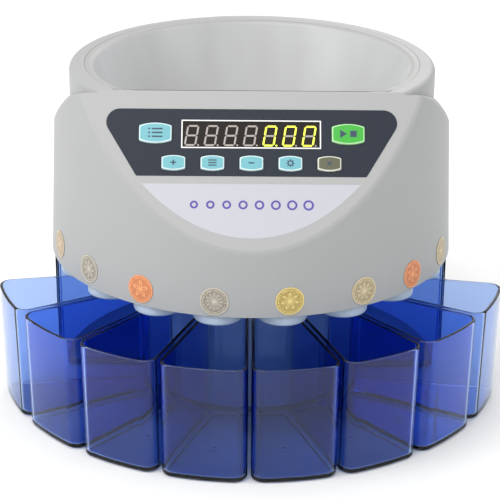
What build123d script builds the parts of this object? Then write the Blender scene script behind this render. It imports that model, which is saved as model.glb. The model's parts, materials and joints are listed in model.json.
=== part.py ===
from build123d import *
from math import cos, pi, radians, sin, tan
import os

# Coin sorting machine: a drum-shaped sorter head on a central column, with eight
# loose coin cups around its front half. Millimetres, +Z up, the operator stands at -Y.
# The model is drawn about the drum's axis and moved back by AXIS_Y when it is written,
# so that the origin is under the middle of the object's box.

os.makedirs("parts", exist_ok=True)

# Driving dimensions
AXIS_Y = 19.35
DRUM_R = 140.0
DRUM_Z = 99.8
DRUM_DRAFT = 0.0435
TOP_Z = 230.4
WALL = 3.0
COLLAR_R = 124.8
COLLAR_LAP = 4.5
BOWL_SEAM_R = 114.5
BOWL_TOP_R = 108.6
BOWL_FRONT_Y = -70.0
BOWL_LOW_R = 75.0
BOWL_LOW_Z = 141.5
BOWL_WALL = 2.0
BOWL_LIP = 3.0

# Shoulder: the drum's top slopes up to the console's two ears and is level behind.
# Its edge is rounded over a drop and a width, small at the ears and large elsewhere.
SHOULDER_Z = 199.0
RAMP_SLOPE = 0.34
RAMP_Z0 = 203.5
SHOULDER_R = 135.15
ROUND_DROP, ROUND_WIDTH = 19.5, 10.4
EAR_DROP, EAR_WIDTH = 1.5, 7.0
EAR_DEG, EAR_FADE_DEG = 54.0, 28.0
LOFT_FROM_DEG, LOFT_STEP_DEG = 45.0, 3.0
RIM_ROUND = 4.0
FACET_ROUND = 5.0

# Console facet: a flat cut across the front of the drum
FACET_DEG = 53.6
FACET_LOW_Y, FACET_LOW_Z = -138.0, 143.8
FACET_TOP_Y = FACET_LOW_Y + (TOP_Z - FACET_LOW_Z) / tan(radians(FACET_DEG))
ELLIPSE_V = FACET_TOP_Y / cos(radians(FACET_DEG))

# Console features, in millimetres across (u) and down the slope from the top edge (v)
PANEL_TOP_V, PANEL_LOW_V = 12.2, 57.3
PANEL_TOP_W, PANEL_LOW_W = 200.4, 147.0
PANEL_THICK = 0.6
LABEL_TOP_V = 62.4
LABEL_MARGIN = 9.3
LABEL_ACROSS = -FACET_LOW_Y - LABEL_MARGIN
LABEL_DOWN = -FACET_LOW_Y / cos(radians(FACET_DEG)) - LABEL_MARGIN
LABEL_THICK = 0.3
WINDOW_U, WINDOW_V = -0.3, 29.1
WINDOW_W, WINDOW_H = 89.6, 19.0
FRAME_LINE = 0.8
DIGIT_PITCH = 12.55
DIGIT_H = 14.0
DIGIT_W = 7.8
DIGIT_COUNT = 7
DIGIT_SLANT_DEG = 9.0
SEGMENT_W = 1.15
POINT_R = 0.6
LIT_FROM = 4

# Buttons: name, u, v, width, height, bulge of the top and bottom edges
BUTTON_ROW_V = 48.7
BUTTON_PITCH = 24.9
BUTTONS = [
    ("report_button", -61.7, 28.8, 21.0, 13.8, 1.9),
    ("start_button", 61.9, 28.8, 21.0, 13.8, 1.9),
    ("plus_button", -2 * BUTTON_PITCH, BUTTON_ROW_V, 15.2, 10.2, 1.3),
    ("batch_button", -BUTTON_PITCH, BUTTON_ROW_V, 15.2, 10.2, 1.3),
    ("minus_button", 0.0, BUTTON_ROW_V, 15.2, 10.2, 1.3),
    ("set_button", BUTTON_PITCH, BUTTON_ROW_V, 15.2, 10.2, 1.3),
    ("clear_button", 2 * BUTTON_PITCH, BUTTON_ROW_V, 15.2, 10.2, 1.3),
]
BUTTON_PROUD = 1.6
BUTTON_GAP = 0.35
BUTTON_TRAVEL = 1.2
BOARD_DEPTH = 8.0
BOARD_THICK = 1.6
SWITCH_H = 1.2

# Cups and chutes: eight equal places across the front. A cup is narrower at its foot by
# CUP_DRAFT, and a chute's spout leans outwards below the drum's floor.
PLACES = 8
PITCH_DEG = 19.8
CUP_OUT_R = 179.0
CUP_DRAFT = 2.1
CUP_IN_R = 80.6
CUP_GAP = 2.0
CUP_H = 80.7
CUP_WALL = 2.2
CUP_FLOOR = 2.6
CUP_OUT_FILLET = 9.0
CUP_IN_FILLET = 5.0
CHUTE_R, CHUTE_BORE_R, CHUTE_AT_R = 15.8, 13.6, 119.0
SPOUT_R, SPOUT_BORE_R, SPOUT_AT_R = 16.2, 13.8, 122.0
SPOUT_LOW_Z = 92.0

# Column, base and rear cover
COLUMN_R = 78.0
BASE_Z = 1.5
BASE_THICK = 4.0
BASE_R = 136.1
COVER_R = 139.5
COVER_WALL = 2.4
COVER_BEAD = 3.4
FLOOR_THICK = 3.0
FOOT_R = 7.0
FOOT_TOP_Z = 2.5
FEET = [(-50, -42), (50, -42), (-90, 78), (90, 78)]
POST_TURNS = [120, 240]
POST_R = 5.0
BOSS_AT_R = 132.6
BOSS_TURNS = [-PITCH_DEG, PITCH_DEG, 135, 225]

# Sorting works inside the drum
RING_Z = 134.0
RING_THICK = 3.0
RING_IN_R = 86.0
RING_OUT_R = 132.4
RING_LIP_Z = 145.0
RAIL_R = 130.0
SENSOR_DEPTH = 2.2
DISC_R = 84.6
DISC_Z = 133.0
DISC_THICK = 4.0
SHAFT_R = 5.0
GEAR_TEETH = 60
PINION_TEETH = 15
MODULE = 1.0
GEAR_SPACING = MODULE * (GEAR_TEETH + PINION_TEETH) / 2
GEAR_Z = 114.0
GEAR_THICK = 8.0
FIT = 0.05
DISC_RIBS = 8
BEARING_R = 11.0
BEARING_TOP_Z = 111.0
MOTOR_R = 19.0
MOTOR_LENGTH = 58.0
MOTOR_NOSE_R = 9.0

# Coins that the eight slots are graded for, smallest first
COIN_D = [16.3, 18.3, 19.8, 21.3, 22.3, 23.3, 24.3, 25.8]

# Coin badges on the drum: angle from the front and height
BADGE_R = 9.35
BADGE_THICK = 0.4
BADGES = [(-68.7, 114.5), (-50.1, 112.2), (-30.6, 111.0), (-9.5, 110.1),
          (10.4, 110.6), (31.8, 110.2), (50.2, 110.1), (68.1, 112.0)]

# Rear service plate
SERVICE_Y = 129.5
SERVICE_W = 92.0
SERVICE_Z0, SERVICE_Z1 = 106.0, 130.8
INLET_X, SWITCH_X = 22.0, -24.0
INLET_Z = 118.5
INLET_FLANGE_W, INLET_FLANGE_H = 32.0, 23.0
ROCKER_TILT_DEG = 7.0
VENT_Z0, VENT_Z1 = 109.0, 133.0
VENT_COUNT = 6
VENT_FROM_DEG, VENT_STEP_DEG = 24.0, 3.0

UP = (Align.CENTER, Align.CENTER, Align.MIN)


def cylinder(r, z0, z1, x=0.0, y=0.0):
    """A vertical cylinder between two heights."""
    return Pos(x, y, z0) * Cylinder(r, z1 - z0, align=UP)


def drum_r(z):
    """The drum's outer radius at a height: it tapers upwards."""
    return DRUM_R - DRUM_DRAFT * (z - DRUM_Z)


def drum_cone(grow, z0, z1):
    """The drum's tapered volume between two heights, grown or shrunk all round."""
    return Pos(0, 0, z0) * Cone(drum_r(z0) + grow, drum_r(z1) + grow, z1 - z0, align=UP)


def tube(r_out, r_in, z0, z1, x=0.0, y=0.0):
    """A vertical tube between two heights."""
    return cylinder(r_out, z0, z1, x, y) - cylinder(r_in, z0 - 1, z1 + 1, x, y)


def block(x0, x1, y0, y1, z0, z1):
    """A box from its low corner to its high one."""
    centre = Pos((x0 + x1) / 2, (y0 + y1) / 2, (z0 + z1) / 2)
    return centre * Box(x1 - x0, y1 - y0, z1 - z0)


def save(name, shape):
    """Writes one sub-part, moved so that the origin is under the middle of the object."""
    solids = [Pos(0, AXIS_Y, 0) * s for s in shape.solids()]
    export_step(solids[0] if len(solids) == 1 else Compound(children=solids), f"parts/{name}.step")


def place_angle(index):
    """Turn about Z, in degrees, that brings the front direction -Y to cup or chute number index."""
    return (index - (PLACES - 1) / 2) * PITCH_DEG


# ---------------------------------------------------------------- console plane


def console(u=0.0, v=0.0, depth=0.0):
    """A place on the console: u across, v down the slope, depth into the drum."""
    s, c = sin(radians(FACET_DEG)), cos(radians(FACET_DEG))
    origin = (u, FACET_TOP_Y - v * c + depth * s, TOP_Z - v * s - depth * c)
    return Plane(origin=origin, x_dir=(1, 0, 0), z_dir=(0, -s, c))


def plate(sketch, low, high, u=0.0, v=0.0):
    """A flat piece on the console between two depths, measured into the drum."""
    return extrude(console(u, v, high) * sketch, high - low)


def panel_outline():
    """The dark keypad panel: a trapezoid with its wide edge and round corners on top."""
    top, low = -PANEL_TOP_V, -PANEL_LOW_V
    half_top, half_low = PANEL_TOP_W / 2, PANEL_LOW_W / 2
    face = make_face(Polyline((-half_low, low), (half_low, low), (half_top, top), (-half_top, top),
                              close=True))
    upper = face.vertices().sort_by(Axis.Y)[2:]
    face = fillet(upper, 9.0)
    lower = face.vertices().sort_by(Axis.Y)[:2]
    return fillet(lower, 1.5)


def label_outline():
    """The pale name plate: it runs parallel to the facet's lower edge."""
    oval = Pos(0, -ELLIPSE_V) * Ellipse(LABEL_ACROSS, LABEL_DOWN)
    return oval & (Pos(0, -LABEL_TOP_V - 100) * Rectangle(300, 200))


def button_outline(width, height, bulge, grow=0.0):
    """A barrel: straight sides, with the top and bottom edges bowed outwards."""
    w, side = width / 2 + grow, height / 2 - bulge + grow
    crown = height / 2 + grow
    lines = [
        ThreePointArc((-w, side), (0, crown), (w, side)),
        Line((w, side), (w, -side)),
        ThreePointArc((w, -side), (0, -crown), (-w, -side)),
        Line((-w, -side), (-w, side)),
    ]
    face = make_face(Curve() + lines)
    return fillet(face.vertices(), 1.1 + grow)


# ---------------------------------------------------------------- drum


def shoulder_top(r, turn):
    """Height of the drum's top at a radius and a turn from the front, before its edge is rounded."""
    return max(SHOULDER_Z, RAMP_Z0 + RAMP_SLOPE * r * cos(turn))


def shoulder_section(degrees):
    """What is cut off the drum above its shoulder, in the upright plane at one turn from the front.
    The edge is rounded generously at the sides and behind, and tightly beside the console."""
    turn = radians(degrees)
    away = min(max((180 - abs(degrees - 180) - EAR_DEG) / EAR_FADE_DEG, 0), 1)
    share = away * away * (3 - 2 * away)
    drop = EAR_DROP + (ROUND_DROP - EAR_DROP) * share
    width = EAR_WIDTH + (ROUND_WIDTH - EAR_WIDTH) * share
    edge_z = shoulder_top(SHOULDER_R, turn)
    low_z, far = edge_z - drop, TOP_Z + 40
    outer, crest, inner = drum_r(low_z) + 0.25, SHOULDER_R - width, COLLAR_R - COLLAR_LAP - 1
    plane = Plane(origin=(0, 0, 0), x_dir=(sin(turn), -cos(turn), 0), z_dir=(-cos(turn), -sin(turn), 0))
    curve = Bezier(
        (outer, low_z),
        (outer, edge_z - 0.6 * drop),
        (SHOULDER_R - 0.73 * width, edge_z - 0.08 * drop),
        (crest, shoulder_top(crest, turn)),
    )
    above = Polyline(
        (crest, shoulder_top(crest, turn)),
        (inner, shoulder_top(inner, turn)),
        (inner, far),
        (DRUM_R + 8, far),
        (DRUM_R + 8, low_z),
        (outer, low_z),
    )
    return plane * make_face(Curve() + [curve, above])


def above_shoulder():
    """The space above the drum's shoulder, as one loft round the drum from ear to ear."""
    steps = round((360 - 2 * LOFT_FROM_DEG) / LOFT_STEP_DEG)
    return loft([shoulder_section(LOFT_FROM_DEG + LOFT_STEP_DEG * i) for i in range(steps + 1)])


def behind_facet(depth=0.0):
    """Everything behind the console plane, or behind a plane further in."""
    return console(0, 0, depth) * (Pos(0, 0, -200) * Box(500, 700, 400))


def housing_outside():
    """The drum and the hopper collar as one moulding, before it is hollowed."""
    drum = drum_cone(0, DRUM_Z, TOP_Z + 10) - above_shoulder()
    collar = cylinder(COLLAR_R, DRUM_Z, TOP_Z)
    collar = fillet(collar.edges().sort_by(Axis.Z)[-1], RIM_ROUND)
    low_drum = drum & block(-200, 200, -200, 200, 0, TOP_Z - 0.01)
    body = (low_drum - cylinder(COLLAR_R - COLLAR_LAP, DRUM_Z - 1, TOP_Z + 20)) + collar
    body = body & behind_facet()
    outline = body.edges().filter_by(GeomType.ELLIPSE).sort_by(lambda e: e.length)[-1]
    return fillet(outline, FACET_ROUND)


def housing_cavity():
    """The hollow of the drum and collar, stepped so that the wall stays at least WALL thick."""
    hollow = drum_cone(-WALL, DRUM_Z - 1, SHOULDER_Z - ROUND_DROP - WALL)
    hollow += drum_cone(-WALL, DRUM_Z - 1, SHOULDER_Z - 6) & block(-200, 200, -200, -20, 0, 300)
    hollow += cylinder(COLLAR_R - WALL, DRUM_Z - 1, SHOULDER_Z - WALL)
    hollow += cylinder(BOWL_SEAM_R + 3.5, DRUM_Z - 1, TOP_Z - 6)
    return hollow & behind_facet(WALL)


def bowl_hole(r, z0, z1):
    """A round opening with a flat front, for the hopper bowl."""
    return cylinder(r, z0, z1) & block(-200, 200, BOWL_FRONT_Y - BOWL_WALL - 0.2, 200, 0, 300)


def rear_recess():
    """The recess in the back of the drum for the inlet and the switch: its hollow, and the walls of it."""
    half, out = SERVICE_W / 2, DRUM_R + WALL
    hollow = block(-half, half, SERVICE_Y, out, SERVICE_Z0, SERVICE_Z1)
    walls = block(-half - WALL, half + WALL, SERVICE_Y - WALL, out, SERVICE_Z0 - WALL, SERVICE_Z1 + WALL)
    return hollow, walls & drum_cone(-0.5, DRUM_Z, TOP_Z)


def vent_slots():
    """Two rows of upright cooling slots beside the rear flat."""
    slots = []
    for side in (-1, 1):
        for i in range(VENT_COUNT):
            turn = side * (VENT_FROM_DEG + VENT_STEP_DEG * i)
            slot = block(-1.1, 1.1, DRUM_R - 8, DRUM_R + 8, VENT_Z0, VENT_Z1)
            slots.append(Rot(0, 0, turn) * slot)
    return slots


def screw_places():
    """Places of the four screws that hold the floor to the drum, as (x, y)."""
    turns = [radians(t) for t in BOSS_TURNS]
    return [(BOSS_AT_R * sin(t), -BOSS_AT_R * cos(t)) for t in turns]


def housing_shell():
    """The drum, collar and console: one thin moulding with all its openings."""
    body = housing_outside() - housing_cavity()
    body -= bowl_hole(BOWL_SEAM_R, TOP_Z - BOWL_LIP - 0.1, TOP_Z + 1)
    body -= bowl_hole(BOWL_TOP_R + BOWL_WALL + 0.6, TOP_Z - 12, TOP_Z + 1)
    hollow, walls = rear_recess()
    body = (body + walls) - hollow
    body -= block(INLET_X - 13.7, INLET_X + 13.7, 110, 140, INLET_Z - 10.2, INLET_Z + 10.2)
    body -= block(SWITCH_X - 9.7, SWITCH_X + 9.7, 110, 140, INLET_Z - 6.7, INLET_Z + 6.7)
    for slot in vent_slots():
        body -= slot
    body -= plate(panel_outline(), -5, PANEL_THICK - 0.1)
    body -= plate(label_outline(), -5, LABEL_THICK - 0.1)
    body -= plate(Rectangle(WINDOW_W, WINDOW_H - 1), -5, 6, WINDOW_U, WINDOW_V)
    for _, u, v, width, height, bulge in BUTTONS:
        body -= plate(button_outline(width, height, bulge, BUTTON_GAP), -5, 4, u, v)
    for x, y in screw_places():
        boss = cylinder(4.6, DRUM_Z + FLOOR_THICK, RING_Z - 8, x, y)
        body += boss & drum_cone(-1, DRUM_Z, TOP_Z)
        body -= cylinder(1.8, DRUM_Z, RING_Z - 14, x, y)
    return body


# ---------------------------------------------------------------- hopper


def funnel(r_top, r_low, z_low, front_y):
    """A funnel's volume, cut flat at the front."""
    height = TOP_Z + 0.01 - z_low
    cone = Pos(0, 0, z_low) * Cone(r_low, r_top, height, align=UP)
    return cone & block(-200, 200, front_y, 200, 0, 300)


def hopper_bowl():
    """The coin funnel: it hangs in the collar by its lip and stops just above the feed disc."""
    r_out, r_low = BOWL_TOP_R + BOWL_WALL, BOWL_LOW_R + BOWL_WALL
    body = funnel(r_out, r_low, BOWL_LOW_Z, BOWL_FRONT_Y - BOWL_WALL)
    lip = cylinder(BOWL_SEAM_R - 0.3, TOP_Z - BOWL_LIP, TOP_Z)
    body += lip & block(-200, 200, BOWL_FRONT_Y - BOWL_WALL, 200, 0, 300)
    body = body & block(-200, 200, -200, 200, 0, TOP_Z)
    hollow = funnel(BOWL_TOP_R, BOWL_LOW_R, BOWL_LOW_Z - 0.01, BOWL_FRONT_Y)
    upright = hollow.edges().filter_by(lambda e: abs(e.center().X) > 30 and e.length > 40)
    hollow = fillet(upright, 14.0)
    return body - hollow - cylinder(BOWL_LOW_R - 6, BOWL_LOW_Z - 2, BOWL_LOW_Z + 2)


# ---------------------------------------------------------------- floor, chutes, column, base


def housing_floor():
    """The drum's floor: it carries the chutes, the bearing boss, the motor and the ring posts."""
    low, high = DRUM_Z, DRUM_Z + FLOOR_THICK
    body = cylinder(drum_r(high) - WALL - 0.2, low, high)
    body += cylinder(BEARING_R + 3, low, BEARING_TOP_Z)
    body -= cylinder(BEARING_R, low - 1, BEARING_TOP_Z + 1)
    for turn in POST_TURNS:
        x, y = CHUTE_AT_R * sin(radians(turn)), -CHUTE_AT_R * cos(radians(turn))
        body += cylinder(POST_R, low, RING_Z, x, y)
    for i in range(PLACES):
        turn = radians(place_angle(i))
        x, y = CHUTE_AT_R * sin(turn), -CHUTE_AT_R * cos(turn)
        body -= cylinder(CHUTE_R, low - 1, high + 1, x, y)
    for x, y in screw_places() + column_screw_places():
        body -= cylinder(2.1, low - 1, high + 1, x, y)
    return body - cylinder(MOTOR_NOSE_R, low - 1, high + 1, 0, GEAR_SPACING)


def chute():
    """One coin chute in the front direction: a tube through the floor, and a wider spout under it."""
    body = cylinder(CHUTE_R, DRUM_Z - 1, RING_Z, 0, -CHUTE_AT_R)
    spout = cylinder(SPOUT_R, SPOUT_LOW_Z, DRUM_Z, 0, -SPOUT_AT_R)
    spout = fillet(spout.edges().sort_by(Axis.Z)[0], SPOUT_R - SPOUT_BORE_R - 0.4)
    mouth = Pos(0, -CHUTE_AT_R, RING_Z) * Circle(CHUTE_BORE_R)
    end = Pos(0, -SPOUT_AT_R, SPOUT_LOW_Z) * Circle(SPOUT_BORE_R)
    return body + spout - loft([end, mouth])


def column_screw_places():
    """Places of the four screws that hold the column under the floor, as (x, y)."""
    turns = [radians(45 + 90 * i) for i in range(4)]
    return [(70.0 * sin(t), 70.0 * cos(t)) for t in turns]


def base_column():
    """The round column that carries the drum, with a flange inside its top."""
    body = tube(COLUMN_R, COLUMN_R - WALL, BASE_Z + BASE_THICK, DRUM_Z)
    body += tube(COLUMN_R - WALL, 64.0, DRUM_Z - 3, DRUM_Z)
    for x, y in column_screw_places():
        body -= cylinder(2.1, DRUM_Z - 5, DRUM_Z + 1, x, y)
    return body


def base_plate():
    """The foot of the machine: a disc under the column, with a wide half disc behind."""
    body = cylinder(COLUMN_R, BASE_Z, BASE_Z + BASE_THICK)
    rear = cylinder(BASE_R, BASE_Z, BASE_Z + BASE_THICK) & block(-200, 200, 1.0, 200, 0, 50)
    body += rear
    for x, y in FEET:
        body -= cylinder(FOOT_R, BASE_Z - 1, FOOT_TOP_Z, x, y)
    return body


def rubber_feet():
    """Round rubber feet, set into shallow pockets under the base."""
    return Compound(children=[cylinder(FOOT_R, 0, FOOT_TOP_Z, x, y) for x, y in FEET])


def rear_cover():
    """The clear half-round cover behind the column, with a thicker bead down both front edges."""
    low, high = BASE_Z, DRUM_Z
    rear_half = block(-200, 200, 0.6, 200, 0, 200)
    body = tube(COVER_R, COVER_R - COVER_WALL, low, high) & rear_half
    bead = tube(COVER_R, COVER_R - COVER_BEAD, BASE_Z + BASE_THICK + 0.3, high)
    return body + (bead & block(-200, 200, 0.6, 4.0, 0, 200))


# ---------------------------------------------------------------- cups


def cup_plan(z, inset=0.0):
    """A cup's outline at a height in the front direction: part of a ring, with round corners.
    The inset is the wall's thickness when the outline is that of the cup's inside."""
    half = radians(PITCH_DEG / 2)
    apex = -(CUP_GAP / 2 + inset) / sin(half)
    far = 260.0
    wedge = make_face(Polyline((0, apex), (far * sin(half), apex - far * cos(half)),
                               (-far * sin(half), apex - far * cos(half)), close=True))
    out_r = CUP_OUT_R - CUP_DRAFT * (1 - z / CUP_H)
    face = wedge & (Circle(out_r - inset) - Circle(CUP_IN_R + inset))
    outer = face.vertices().sort_by(Axis.Y)[:2]
    face = fillet(outer, CUP_OUT_FILLET - inset)
    inner = face.vertices().sort_by(Axis.Y)[-2:]
    return Pos(0, 0, z) * fillet(inner, CUP_IN_FILLET - inset)


def cup():
    """One coin cup in the front direction: a thin wedge-shaped bin with a rounded foot."""
    outside = loft([cup_plan(0), cup_plan(CUP_H)], ruled=True)
    outside = fillet(outside.faces().sort_by(Axis.Z)[0].edges(), 2.4)
    inside = loft([cup_plan(CUP_FLOOR, CUP_WALL), cup_plan(CUP_H + 1, CUP_WALL)], ruled=True)
    inside = fillet(inside.faces().sort_by(Axis.Z)[0].edges(), 1.6)
    return outside - inside


# ---------------------------------------------------------------- console pieces


def keypad_panel():
    """The dark overlay, with holes for the buttons and a window for the digits."""
    body = plate(panel_outline(), -0.1, PANEL_THICK - 0.1)
    body -= plate(Rectangle(WINDOW_W - 2 * FRAME_LINE, WINDOW_H - 2 * FRAME_LINE), -2, 2,
                  WINDOW_U, WINDOW_V)
    for _, u, v, width, height, bulge in BUTTONS:
        body -= plate(button_outline(width, height, bulge, BUTTON_GAP), -2, 2, u, v)
    return body


def name_label():
    """The pale plate under the keypad."""
    return plate(label_outline(), -0.1, LABEL_THICK - 0.1)


def display_module():
    """The black digit module, seen through the window in the panel."""
    w, h = WINDOW_W - 2 * FRAME_LINE - 0.4, WINDOW_H - 2 * FRAME_LINE - 0.4
    return plate(Rectangle(w, h), 0.5, BOARD_DEPTH, WINDOW_U, WINDOW_V)


def segment_faces():
    """The seven bars and the point of one digit about its own centre, leaning to the right."""
    half_w, half_h, bar = DIGIT_W / 2, DIGIT_H / 2, SEGMENT_W
    lean = tan(radians(DIGIT_SLANT_DEG))
    gap = 0.25

    def bar_face(x0, y0, x1, y1):
        """One bar between two ends, with pointed tips."""
        flat = abs(x1 - x0) > abs(y1 - y0)
        a, b = bar / 2, gap + bar / 2
        if flat:
            points = [(x0 + gap, y0), (x0 + b, y0 + a), (x1 - b, y0 + a),
                      (x1 - gap, y0), (x1 - b, y0 - a), (x0 + b, y0 - a)]
        else:
            points = [(x0, y0 + gap), (x0 + a, y0 + b), (x0 + a, y1 - b),
                      (x0, y1 - gap), (x0 - a, y1 - b), (x0 - a, y0 + b)]
        return make_face(Polyline(*[(x + y * lean, y) for x, y in points], close=True))

    w, h = half_w - bar / 2, half_h - bar / 2
    bars = [bar_face(-w, h, w, h), bar_face(w, 0, w, h), bar_face(w, -h, w, 0), bar_face(-w, -h, w, -h),
            bar_face(-w, -h, -w, 0), bar_face(-w, 0, -w, h), bar_face(-w, 0, w, 0)]
    point = Pos(half_w + 1.3 - h * lean, -h) * Circle(POINT_R)
    return bars, point


def digits():
    """Every bar and point of the display, split into those that shine and those that don't."""
    bars, point = segment_faces()
    lit, unlit = [], []
    for i in range(DIGIT_COUNT):
        u = WINDOW_U + (i - (DIGIT_COUNT - 1) / 2) * DIGIT_PITCH - 0.5
        v = WINDOW_V + 0.9
        for k, bar in enumerate(bars):
            shines = i >= LIT_FROM and k < 6
            (lit if shines else unlit).append(plate(bar, 0.25, 0.5, u, v))
        (lit if i == LIT_FROM else unlit).append(plate(point, 0.25, 0.5, u, v))
    return Compound(children=lit), Compound(children=unlit)


def keypad_board():
    """The circuit board behind the console, with a small push switch under each button."""
    board = plate(Rectangle(154, 43), BOARD_DEPTH, BOARD_DEPTH + BOARD_THICK, 0, 35.5)
    switches = [plate(Circle(3.0), BOARD_DEPTH - SWITCH_H, BOARD_DEPTH, b[1], b[2]) for b in BUTTONS]
    return Compound(children=[board] + switches)


def button(u, v, width, height, bulge):
    """One key: a cap proud of the panel, a flange behind the console wall and a short stem."""
    cap = plate(button_outline(width, height, bulge), -BUTTON_PROUD, WALL + 0.4, u, v)
    top = cap.faces().sort_by(lambda f: -(f.center().Z - f.center().Y))[0]
    cap = fillet(top.edges(), 0.6)
    flange = plate(button_outline(width, height, bulge, 1.2), WALL + 0.4, WALL + 1.4, u, v)
    stem = plate(Circle(2.0), WALL + 1.4, BOARD_DEPTH - SWITCH_H - BUTTON_TRAVEL - 0.2, u, v)
    return cap + flange + stem


def badge(turn_deg, z):
    """A thin round badge stuck on the drum's wall."""
    disc = Pos(0, -drum_r(z), z) * (Rot(90, 0, 0) * Cylinder(BADGE_R, 12))
    skin = drum_cone(BADGE_THICK, z - 10, z + 10) - drum_cone(0, z - 10, z + 10)
    return Rot(0, 0, turn_deg) * (disc & skin)


# ---------------------------------------------------------------- sorting works


def slot_place(i):
    """Inner radius of slot i: the coin hangs over it, with its outer edge on the rail."""
    return RAIL_R - COIN_D[i] - 0.4


def sorting_ring():
    """The ring that coins run on: a rail lip outside, and a graded slot over each chute."""
    body = tube(RING_OUT_R, RING_IN_R, RING_Z, RING_Z + RING_THICK)
    body += tube(RING_OUT_R, RAIL_R, RING_Z, RING_LIP_Z)
    for i in range(PLACES):
        outer, inner = RAIL_R - 1.5, slot_place(i)
        slot = block(-11, 11, -outer, -inner, RING_Z - 1, RING_Z + RING_THICK + 1)
        body -= Rot(0, 0, place_angle(i)) * slot
    return body


def coin_sensors():
    """A small light barrier on the rail beside each slot."""
    sensor = block(-3.5, 3.5, -RING_OUT_R - SENSOR_DEPTH, -RING_OUT_R, RING_Z + 1, RING_LIP_Z - 1)
    return Compound(children=[Rot(0, 0, place_angle(i)) * sensor for i in range(PLACES)])


def feed_disc():
    """The spinning disc under the hopper, with a domed middle and low ribs that fling the coins out."""
    body = cylinder(DISC_R, DISC_Z, DISC_Z + DISC_THICK)
    dome = Pos(0, 0, DISC_Z + DISC_THICK) * Cone(24.0, 9.0, 8.0, align=UP)
    body = body + dome + cylinder(12.0, DISC_Z - 6, DISC_Z)
    rib = block(-1.5, 1.5, 22, DISC_R - 6, DISC_Z + DISC_THICK, DISC_Z + DISC_THICK + 1.5)
    for i in range(DISC_RIBS):
        body += Rot(0, 0, i * 360 / DISC_RIBS) * rib
    return body - cylinder(SHAFT_R, DISC_Z - 7, DISC_Z + DISC_THICK + 4)


def disc_shaft():
    """The upright shaft under the feed disc."""
    return cylinder(SHAFT_R, DRUM_Z - 2, DISC_Z + DISC_THICK + 4)


def shaft_bearings():
    """Two bearings stacked in the floor's boss."""
    low = tube(BEARING_R, SHAFT_R + FIT, DRUM_Z, DRUM_Z + 4.5)
    high = tube(BEARING_R, SHAFT_R + FIT, BEARING_TOP_Z - 4.5, BEARING_TOP_Z)
    return Compound(children=[low, high])


def gear(teeth, bore):
    """A spur gear with straight-flanked teeth. With an odd count a gap faces -Y, opposite a tooth."""
    pitch_r = MODULE * teeth / 2
    step = 2 * pi / teeth
    points = []
    for i in range(teeth):
        middle = i * step
        for r, share in ((pitch_r - 1.25 * MODULE, -0.30), (pitch_r + 0.9 * MODULE, -0.12),
                         (pitch_r + 0.9 * MODULE, 0.12), (pitch_r - 1.25 * MODULE, 0.30)):
            angle = middle + share * step
            points.append((r * sin(angle), r * cos(angle)))
    face = make_face(Polyline(*points, close=True)) - Circle(bore)
    return Pos(0, 0, GEAR_Z) * extrude(face, GEAR_THICK)


def motor_pinion():
    """The pinion with the motor's own shaft, which turns in the motor's nose."""
    pinion = gear(PINION_TEETH, 3.0)
    shaft = cylinder(3.0, DRUM_Z + 4, GEAR_Z + GEAR_THICK + 1)
    return Pos(0, GEAR_SPACING, 0) * (pinion + shaft)


def drive_motor():
    """The geared motor: it hangs under the drum's floor inside the column."""
    body = cylinder(MOTOR_R, DRUM_Z - MOTOR_LENGTH, DRUM_Z)
    body += cylinder(MOTOR_NOSE_R - 0.2, DRUM_Z, DRUM_Z + 6)
    body += cylinder(MOTOR_R * 0.45, DRUM_Z - MOTOR_LENGTH - 4, DRUM_Z - MOTOR_LENGTH)
    body -= cylinder(3.0 + FIT, DRUM_Z + 3.5, DRUM_Z + 7)
    return Pos(0, GEAR_SPACING, 0) * body


def transformer():
    """The mains transformer on the base, inside the column: a laminated core and two coils."""
    low = BASE_Z + BASE_THICK
    core = block(-25, 25, -52, -12, low + 6, low + 30)
    coil = block(-16, 16, -50, -14, low, low + 36)
    return core + coil


def main_board():
    """The control board, flat on four pegs at the back of the drum's floor."""
    low = DRUM_Z + FLOOR_THICK
    board = block(-38, 38, 78, 105, low + 5, low + 6.6)
    pegs = [cylinder(2.5, low, low + 5, x, y) for x in (-34, 34) for y in (82, 101)]
    chips = [block(-30, -16, 84, 96, low + 6.6, low + 9), block(-8, 12, 86, 96, low + 6.6, low + 9),
             block(18, 30, 84, 98, low + 6.6, low + 13)]
    body = board
    for piece in pegs + chips:
        body += piece
    return body


# ---------------------------------------------------------------- rear fittings and screws


def power_inlet():
    """The mains inlet: a flanged socket body, open to the back."""
    z = INLET_Z
    body = block(INLET_X - 13.5, INLET_X + 13.5, SERVICE_Y - 22, SERVICE_Y, z - 10, z + 10)
    half_w, half_h = INLET_FLANGE_W / 2, INLET_FLANGE_H / 2
    body += block(INLET_X - half_w, INLET_X + half_w, SERVICE_Y, SERVICE_Y + 2.5, z - half_h, z + half_h)
    cavity = block(INLET_X - 12.2, INLET_X + 12.2, SERVICE_Y - 15, SERVICE_Y + 5, z - 8.2, z + 8.2)
    corners = cavity.edges().filter_by(Axis.Y).sort_by(Axis.Z)[-2:]
    return body - chamfer(corners, 4.0)


def inlet_pins():
    """The three blades inside the inlet."""
    places = [(-7, -1.5), (0, 2.5), (7, -1.5)]
    return Compound(children=[
        block(INLET_X + x - 1, INLET_X + x + 1, SERVICE_Y - 15, SERVICE_Y - 1, INLET_Z + z - 2, INLET_Z + z + 2)
        for x, z in places
    ])


def switch_bezel():
    """The frame of the rocker switch, open to the back."""
    z = INLET_Z
    body = block(SWITCH_X - 9.5, SWITCH_X + 9.5, SERVICE_Y - 14, SERVICE_Y, z - 6.5, z + 6.5)
    body += block(SWITCH_X - 11, SWITCH_X + 11, SERVICE_Y, SERVICE_Y + 2, z - 8, z + 8)
    return body - block(SWITCH_X - 8.2, SWITCH_X + 8.2, SERVICE_Y - 9, SERVICE_Y + 5, z - 5.4, z + 5.4)


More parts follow.
